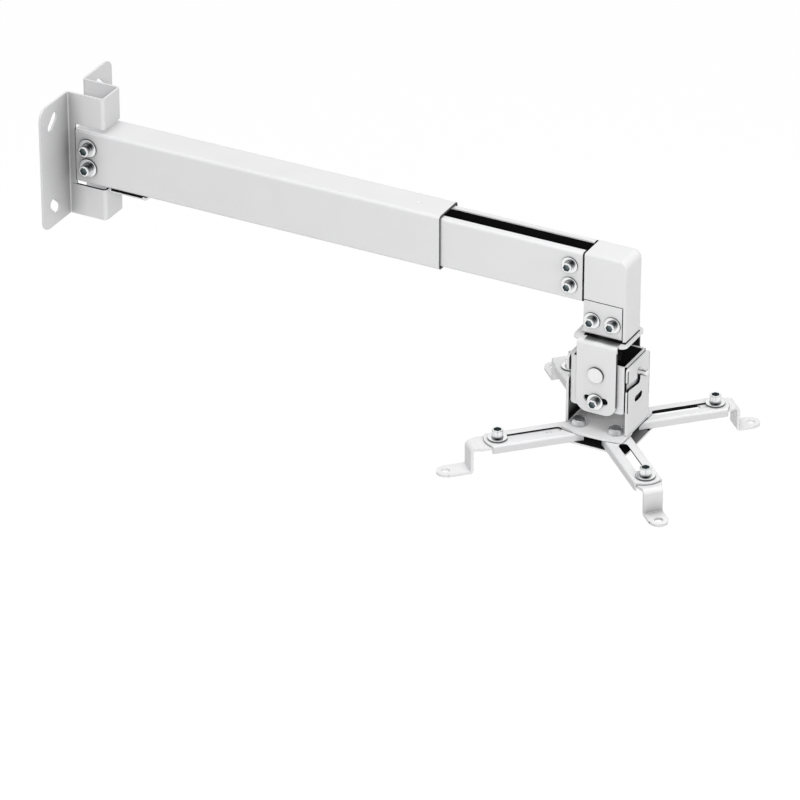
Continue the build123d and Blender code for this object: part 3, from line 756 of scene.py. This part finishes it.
def screw_reflection_and_shade(tree, point):
    """Painted dark reflections and shade round a screw's head and on the rim of its washer."""
    place = add(tree, "ShaderNodeAttribute", attribute_name="screw_place").outputs["Vector"]
    outward = add(tree, "ShaderNodeAttribute", attribute_name="outward").outputs["Vector"]
    axes = parts_of(tree, place)
    angle = calc(tree, "ARCTAN2", axes[1], axes[0])
    height = axes[2]
    away = distance_from_axis(tree, axes)
    stands = calc(tree, "GREATER_THAN", calc(tree, "ABSOLUTE", parts_of(tree, outward)[2]), 0.5)
    on_side = times(tree, between(tree, away, 0.97, 1.1), calc(tree, "LESS_THAN", height, head_top))
    side = add(tree, "ShaderNodeMix", {"Factor": stands, 2: lying_side(tree, angle, height),
                                       3: standing_side(tree, angle, height)}).outputs[0]
    on_brim = times(tree, between(tree, away, 0.93, 1.1), calc(tree, "GREATER_THAN", height, head_top))
    on_rim = times(tree, calc(tree, "GREATER_THAN", away, rim_start),
                   calc(tree, "LESS_THAN", height, -0.02))
    return largest(tree, times(tree, side, on_side), times(tree, on_brim, stands, 0.45),
                   times(tree, on_rim, 0.85))


zinc_colour = (0.93, 0.935, 0.94, 1)
key_colour = (0.22, 0.27, 0.28, 1)
zinc = metal("bright_zinc", zinc_colour, low=0.12, high=0.26, grain=420.0, reflection_and_shade=screw_reflection_and_shade)
socket_dark = metal("socket_dark", key_colour, low=0.45, high=0.6, grain=steel_grain)
dress(zinc, "wall_nuts", "guide_studs", "swivel_bolt", "swivel_nut", "swivel_washers")
print("zinc on the nuts, studs and bolt")

# %% [markdown]
# ## Socket screws
#
# Nineteen socket screws and their washers hold the mount together, in two sizes. They repeat,
# so Geometry Nodes make them: one tree builds a screw with its washer and puts a copy on
# every point of a small mesh, turned along the direction that the point carries.
#
# The head is a cylinder whose rings are pulled in near the top, which gives a round edge. A
# six-sided cylinder is cut out of it for the key. The thread is a spiral swept along the
# shank, and the washer is a rounded rectangle swept round a circle.

# %% Inputs of the screw tree
tree = bpy.data.node_groups.new("socket_screw", "GeometryNodeTree")
size_names = ("Shank radius", "Head radius", "Head height", "Key width", "Key depth",
              "Washer radius", "Washer thickness", "Reach", "Edge", "Pitch")
tree.interface.new_socket("Geometry", in_out="INPUT", socket_type="NodeSocketGeometry")
for size_name in size_names:
    tree.interface.new_socket(size_name, in_out="INPUT", socket_type="NodeSocketFloat")
tree.interface.new_socket("Geometry", in_out="OUTPUT", socket_type="NodeSocketGeometry")
given = add(tree, "NodeGroupInput").outputs
thick = given["Washer thickness"]
pitch = given["Pitch"]
edge = given["Edge"]
head_height = given["Head height"]


def lift(shape, height):
    """Moves a shape along Z."""
    move = add(tree, "ShaderNodeCombineXYZ", {"Z": height}).outputs[0]
    return add(tree, "GeometryNodeTransform", {"Geometry": shape, "Translation": move}).outputs[0]


def half_of(value):
    """Half of a number."""
    return calc(tree, "DIVIDE", value, 2.0)


print("sizes that the tree takes:", len(size_names))

# %% [markdown]
# The head stands on the washer, and heights count from the seat, upwards. A ring that is less
# than the edge's radius below the top is pulled in along a quarter circle.

# %% Head and key hole
head = add(tree, "GeometryNodeMeshCylinder", {"Vertices": 64, "Side Segments": 24,
                                              "Radius": given["Head radius"], "Depth": head_height})
place = add(tree, "GeometryNodeInputPosition").outputs[0]
below_top = calc(tree, "SUBTRACT", half_of(head_height), parts_of(tree, place)[2])
into = largest(tree, calc(tree, "SUBTRACT", edge, below_top), 0.0)
arc = calc(tree, "SUBTRACT", times(tree, edge, edge), times(tree, into, into))
pull = calc(tree, "SUBTRACT", edge, calc(tree, "SQRT", largest(tree, arc, 0.0)))
share = calc(tree, "SUBTRACT", 1.0, calc(tree, "DIVIDE", pull, given["Head radius"]))
narrow = add(tree, "ShaderNodeCombineXYZ", {"X": share, "Y": share, "Z": 1.0}).outputs[0]
pulled = vector_calc(tree, "MULTIPLY", place, narrow)
head = add(tree, "GeometryNodeSetPosition", {"Geometry": head.outputs["Mesh"],
                                             "Position": pulled}).outputs[0]
head = lift(head, calc(tree, "ADD", thick, half_of(head_height)))

top = calc(tree, "ADD", thick, head_height)
key_radius = calc(tree, "DIVIDE", given["Key width"], sqrt(3))
key = add(tree, "GeometryNodeMeshCylinder", {"Vertices": 6, "Radius": key_radius,
                                             "Depth": times(tree, given["Key depth"], 2.0)})
key = lift(key.outputs["Mesh"], top)
head = add(tree, "GeometryNodeMeshBoolean", {"Mesh 1": head, "Mesh 2": key}, operation="DIFFERENCE",
           solver="EXACT").outputs[0]
print("nodes for the head:", len(tree.nodes))

# %% Shank and thread
rib_share = 0.42

shank_radius = calc(tree, "SUBTRACT", given["Shank radius"], times(tree, pitch, 0.5))
shank_length = calc(tree, "ADD", given["Reach"], thick)
shank = add(tree, "GeometryNodeMeshCylinder", {"Vertices": 40, "Radius": shank_radius,
                                               "Depth": shank_length})
shank = lift(shank.outputs["Mesh"], half_of(calc(tree, "SUBTRACT", thick, given["Reach"])))
rib_radius = times(tree, pitch, rib_share)
core = calc(tree, "SUBTRACT", given["Shank radius"], rib_radius)
turns = calc(tree, "DIVIDE", calc(tree, "SUBTRACT", given["Reach"], pitch), pitch)
thread_length = times(tree, turns, pitch)
spiral = add(tree, "GeometryNodeCurveSpiral", {"Resolution": 24, "Rotations": turns, "Height": thread_length,
                                               "Start Radius": core, "End Radius": core}).outputs[0]
spiral = lift(spiral, times(tree, thread_length, -1.0))
rib = add(tree, "GeometryNodeCurvePrimitiveCircle", {"Resolution": 6, "Radius": rib_radius},
          mode="RADIUS").outputs[0]
thread = add(tree, "GeometryNodeCurveToMesh", {"Curve": spiral, "Profile Curve": rib,
                                               "Fill Caps": True}).outputs[0]
print("nodes with shank and thread:", len(tree.nodes))

# %% Washer
hole_radius = calc(tree, "ADD", given["Shank radius"], times(tree, pitch, 0.1))
ring_width = calc(tree, "SUBTRACT", given["Washer radius"], hole_radius)
ring_radius = half_of(calc(tree, "ADD", given["Washer radius"], given["Shank radius"]))
ring_path = add(tree, "GeometryNodeCurvePrimitiveCircle", {"Resolution": 64, "Radius": ring_radius},
                mode="RADIUS").outputs[0]
band = add(tree, "GeometryNodeCurvePrimitiveQuadrilateral", {"Width": ring_width,
                                                             "Height": thick}).outputs[0]
band = add(tree, "GeometryNodeFilletCurve", {"Curve": band, "Count": 4, "Radius": times(tree, thick, 0.3)},
           mode="POLY").outputs[0]
ring = add(tree, "GeometryNodeCurveToMesh", {"Curve": ring_path, "Profile Curve": band}).outputs[0]
ring = lift(ring, half_of(thick))
print("nodes with the washer:", len(tree.nodes))

# %% [markdown]
# The hole for the key is darker than the rest. Its faces lie inside its radius, above the
# washer and below the head's top. All other faces are zinc, and edges that turn by less than 35
# degrees are shaded smooth.

# %% Materials of the screw
above_washer = 0.0005
hair = 0.00002
smooth_angle = 35

face_axes = parts_of(tree, add(tree, "GeometryNodeInputPosition").outputs[0])
inside = calc(tree, "LESS_THAN", distance_from_axis(tree, face_axes), times(tree, key_radius, 1.01))
in_key = times(tree, inside, between(tree, face_axes[2], calc(tree, "ADD", thick, above_washer),
                                     calc(tree, "SUBTRACT", top, hair)))


def painted(shape, material, **selection):
    """A shape with a material, or only some of its faces with it."""
    return add(tree, "GeometryNodeSetMaterial", {"Geometry": shape, "Material": material,
                                                 **selection}).outputs[0]


def joined(*shapes):
    """Several shapes as one."""
    join = add(tree, "GeometryNodeJoinGeometry")
    for shape in shapes:
        tree.links.new(shape, join.inputs[0])
    return join.outputs[0]


head = painted(painted(head, zinc), socket_dark, Selection=in_key)
screw = joined(head, painted(joined(shank, thread, ring), zinc))
turn_angle = add(tree, "GeometryNodeInputMeshEdgeAngle").outputs["Unsigned Angle"]
gentle = calc(tree, "LESS_THAN", turn_angle, radians(smooth_angle))
screw = add(tree, "GeometryNodeSetShadeSmooth", {"Geometry": screw, "Shade Smooth": gentle},
            domain="EDGE").outputs[0]
print("nodes with materials:", len(tree.nodes))

# %% [markdown]
# The place on the screw is stored before the copies are made, so that each copy carries it.
# The tree ends with Realize Instances, because only real faces are kept.

# %% Attribute, copies and the tree's end
washer_top = add(tree, "ShaderNodeCombineXYZ", {"Z": thick}).outputs[0]
unit = add(tree, "ShaderNodeCombineXYZ", {"X": given["Head radius"], "Y": given["Head radius"],
                                          "Z": head_height}).outputs[0]
place = add(tree, "GeometryNodeInputPosition").outputs[0]
place = vector_calc(tree, "DIVIDE", vector_calc(tree, "SUBTRACT", place, washer_top), unit)
screw = add(tree, "GeometryNodeStoreNamedAttribute", {"Geometry": screw, "Name": "screw_place",
                                                      "Value": place},
            data_type="FLOAT_VECTOR", domain="POINT").outputs[0]
outward = add(tree, "GeometryNodeInputNamedAttribute", {"Name": "outward"},
              data_type="FLOAT_VECTOR").outputs[0]
turned = add(tree, "FunctionNodeAlignRotationToVector", {"Vector": outward}, axis="Z").outputs[0]
copies = add(tree, "GeometryNodeInstanceOnPoints", {"Points": given["Geometry"], "Instance": screw,
                                                    "Rotation": turned}).outputs[0]
real = add(tree, "GeometryNodeRealizeInstances", {"Geometry": copies}).outputs[0]
add(tree, "NodeGroupOutput", {0: real})
print("tree nodes:", len(tree.nodes))

# %% [markdown]
# Each set of screws is one piece, because it moves with one body. The places come from the
# boxes of the CAD washers: a washer's flat face lies on its seat, and the screws of a pair are
# a washer's radius inside the ends of the box. The modifier gets its sizes by the identifiers
# of the tree's inputs, and its result becomes a plain mesh.

# %% Sizes of the two screws
large = {"Shank radius": 0.0039, "Head radius": 0.0052, "Head height": 0.0078, "Key width": 0.0068,
         "Key depth": 0.003, "Washer radius": 0.009, "Washer thickness": 0.0016, "Edge": 0.0006,
         "Pitch": 0.00125}
small = {"Shank radius": 0.0029, "Head radius": 0.0047, "Head height": 0.006, "Key width": 0.0062,
         "Key depth": 0.0024, "Washer radius": 0.0078, "Washer thickness": 0.0014, "Edge": 0.0005,
         "Pitch": 0.001}
inputs = {item.name: item.identifier for item in tree.interface.items_tree if item.in_out == "INPUT"}


def screws(name, body, size, reach, seats, *nodes):
    """One piece of screws; seats are pairs of a point and the way that its head looks."""
    mesh = bpy.data.meshes.new(name)
    mesh.from_pydata([seat for seat, outward in seats], [], [])
    ways = mesh.attributes.new("outward", "FLOAT_VECTOR", "POINT")
    for way, (seat, outward) in zip(ways.data, seats):
        way.vector = outward
    piece = bpy.data.objects.new(name, mesh)
    bpy.context.scene.collection.objects.link(piece)
    modifier = piece.modifiers.new("screws", "NODES")
    modifier.node_group = bpy.data.node_groups["socket_screw"]
    for key, value in {**size, "Reach": reach}.items():
        modifier[inputs[key]] = value
    graph = bpy.context.evaluated_depsgraph_get()
    made = bpy.data.meshes.new_from_object(piece.evaluated_get(graph))
    piece.modifiers.clear()
    piece.data = made
    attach(piece, body)
    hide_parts(*nodes)
    print(name, len(seats), "screws,", len(made.polygons), "faces")
    return piece


# %% Screws on both sides of the boom and the head
def across(washers, size):
    """Seats on both sides along Y, one or two a side, from the box of the CAD washers."""
    low, high = (Vector(corner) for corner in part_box(washers))
    inset = size["Washer radius"]
    xs = sorted({round(low.x + inset, 4), round(high.x - inset, 4)})
    zs = sorted({round(low.z + inset, 4), round(high.z - inset, 4)})
    seat = high.y - size["Washer thickness"]
    return [((x, side * seat, z), (0, side, 0)) for x in xs for z in zs for side in (-1, 1)]


wall_reach = 0.01125
boom_reach = 0.00465
tilt_reach = 0.0068
screws("wall_screw_set", "wall_frame", large, wall_reach, across("wall_washers", large),
       "wall_screws", "wall_washers")
screws("boom_screw_set", "boom", small, boom_reach, across("boom_washers", small),
       "boom_screws", "boom_washers")
screws("head_screw_set", "boom", small, boom_reach, across("head_washers", small),
       "head_screws", "head_washers")
screws("tilt_screw_set", "tilt", small, tilt_reach, across("tilt_washers", small),
       "tilt_screws", "tilt_washers")


# %% Upright screws
def upright_seat(washer, way):
    """Seat of one screw that looks up (way 1) or down (way -1), from the box of its CAD washer."""
    low, high = (Vector(corner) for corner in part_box(washer))
    middle = (low + high) / 2
    height = low.z if way > 0 else high.z
    return [((middle.x, middle.y, height), (0, 0, way))]


stop_reach = 0.0165
foot_reach = 0.007
screws("stop_screw_set", "wall_frame", small, stop_reach, upright_seat("stop_washer", -1),
       "stop_screw", "stop_washer")
for name in corners:
    screws(f"foot_screw_set_{name}", f"foot_{name}", large, foot_reach,
           upright_seat(f"foot_washer_{name}", 1), f"foot_screw_{name}", f"foot_washer_{name}")

# %% [markdown]
# ## Finish
#

# %% Finish
print("finished")
